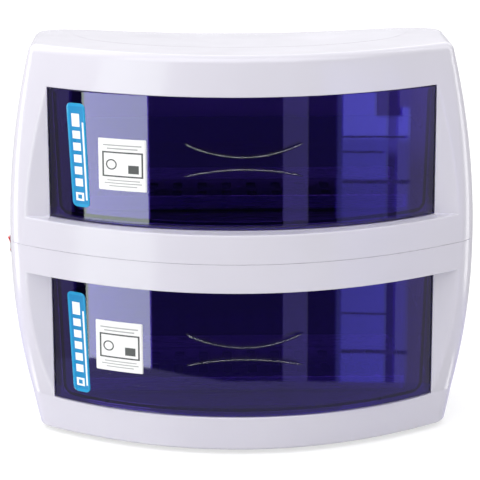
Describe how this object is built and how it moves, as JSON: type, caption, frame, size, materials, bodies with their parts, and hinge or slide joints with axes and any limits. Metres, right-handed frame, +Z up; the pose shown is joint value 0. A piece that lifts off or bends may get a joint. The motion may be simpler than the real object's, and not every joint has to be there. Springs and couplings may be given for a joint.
{
  "type": "uv sterilizer cabinet",
  "caption": "Bow-fronted ultraviolet sterilizer cabinet for salon tools, with stacked pull-out drawers of tinted clear plastic, hidden lamps and a side rocker switch.",
  "frame": {"origin": "on the table, at the middle of the cabinet's whole footprint, with the protruding rocker counted in, so the plane the drawers are centred on is x = +2.1 mm", "axes": "+Z up, +X to the right of someone facing the drawers, -Y towards that person, the way the drawers open"},
  "size_m": [0.3872, 0.228, 0.32],
  "materials": {
    "white_shell": "moulded ABS, glossy",
    "back_cover": "moulded ABS, fine texture",
    "coated_steel": "white powder coat",
    "foot_rubber": "moulded rubber",
    "screw_steel": "zinc plated",
    "polished_aluminium": "polished",
    "lamp_glass": "clear quartz glass",
    "lamp_socket": "moulded, heat resistant",
    "rail_plastic": "low friction plastic",
    "clear_blue": "tinted transparent, polished",
    "tray_steel": "brushed stainless",
    "cyan_film": "printed vinyl film",
    "white_film": "printed vinyl film",
    "ballast_case": "white enamel",
    "wire_cover": "flexible PVC",
    "black_plastic": "moulded nylon",
    "red_plastic": "moulded, glossy"
  },
  "bodies": {
    "cabinet": {"upper_housing": "white_shell", "lower_housing": "white_shell", "back_panel": "back_cover", "upper_chamber_liner": "coated_steel", "lower_chamber_liner": "coated_steel", "base_plate": "coated_steel", "foot_front_left": "foot_rubber", "foot_front_right": "foot_rubber", "foot_rear_left": "foot_rubber", "foot_rear_right": "foot_rubber", "back_screw_1": "screw_steel", "back_screw_2": "screw_steel", "back_screw_3": "screw_steel", "back_screw_4": "screw_steel", "back_screw_5": "screw_steel", "back_screw_6": "screw_steel", "base_screw_1": "screw_steel", "base_screw_2": "screw_steel", "base_screw_3": "screw_steel", "base_screw_4": "screw_steel", "upper_reflector": "polished_aluminium", "upper_left_lamp_cap": "polished_aluminium", "upper_right_lamp_cap": "polished_aluminium", "upper_lamp_tube": "lamp_glass", "upper_left_lamp_holder": "lamp_socket", "upper_right_lamp_holder": "lamp_socket", "upper_left_rail": "rail_plastic", "upper_right_rail": "rail_plastic", "upper_ballast": "ballast_case", "upper_lamp_lead": "wire_cover", "lower_reflector": "polished_aluminium", "lower_left_lamp_cap": "polished_aluminium", "lower_right_lamp_cap": "polished_aluminium", "lower_lamp_tube": "lamp_glass", "lower_left_lamp_holder": "lamp_socket", "lower_right_lamp_holder": "lamp_socket", "lower_left_rail": "rail_plastic", "lower_right_rail": "rail_plastic", "lower_ballast": "ballast_case", "lower_lamp_lead": "wire_cover", "switch_body": "black_plastic", "power_inlet": "black_plastic", "inlet_lead": "wire_cover", "switch_lead": "wire_cover"},
    "upper_drawer": {"upper_drawer": "clear_blue", "upper_tool_tray": "tray_steel", "upper_accent_label": "cyan_film", "upper_info_label": "white_film"},
    "lower_drawer": {"lower_drawer": "clear_blue", "lower_tool_tray": "tray_steel", "lower_accent_label": "cyan_film", "lower_info_label": "white_film"},
    "rocker": {"switch_rocker": "red_plastic"}
  },
  "joints": [
    {"name": "upper_drawer_slide", "type": "slide", "parent": "cabinet", "child": "upper_drawer", "axis": [0, -1, 0], "range_m": [0, 0.104]},
    {"name": "lower_drawer_slide", "type": "slide", "parent": "cabinet", "child": "lower_drawer", "axis": [0, -1, 0], "range_m": [0, 0.104]},
    {"name": "power_switch_rock", "type": "hinge", "parent": "cabinet", "child": "rocker", "pos_m": [-0.18887, 0.012, 0.1515], "axis": [0, 1, 0], "range_deg": [0, 16]}
  ]
}
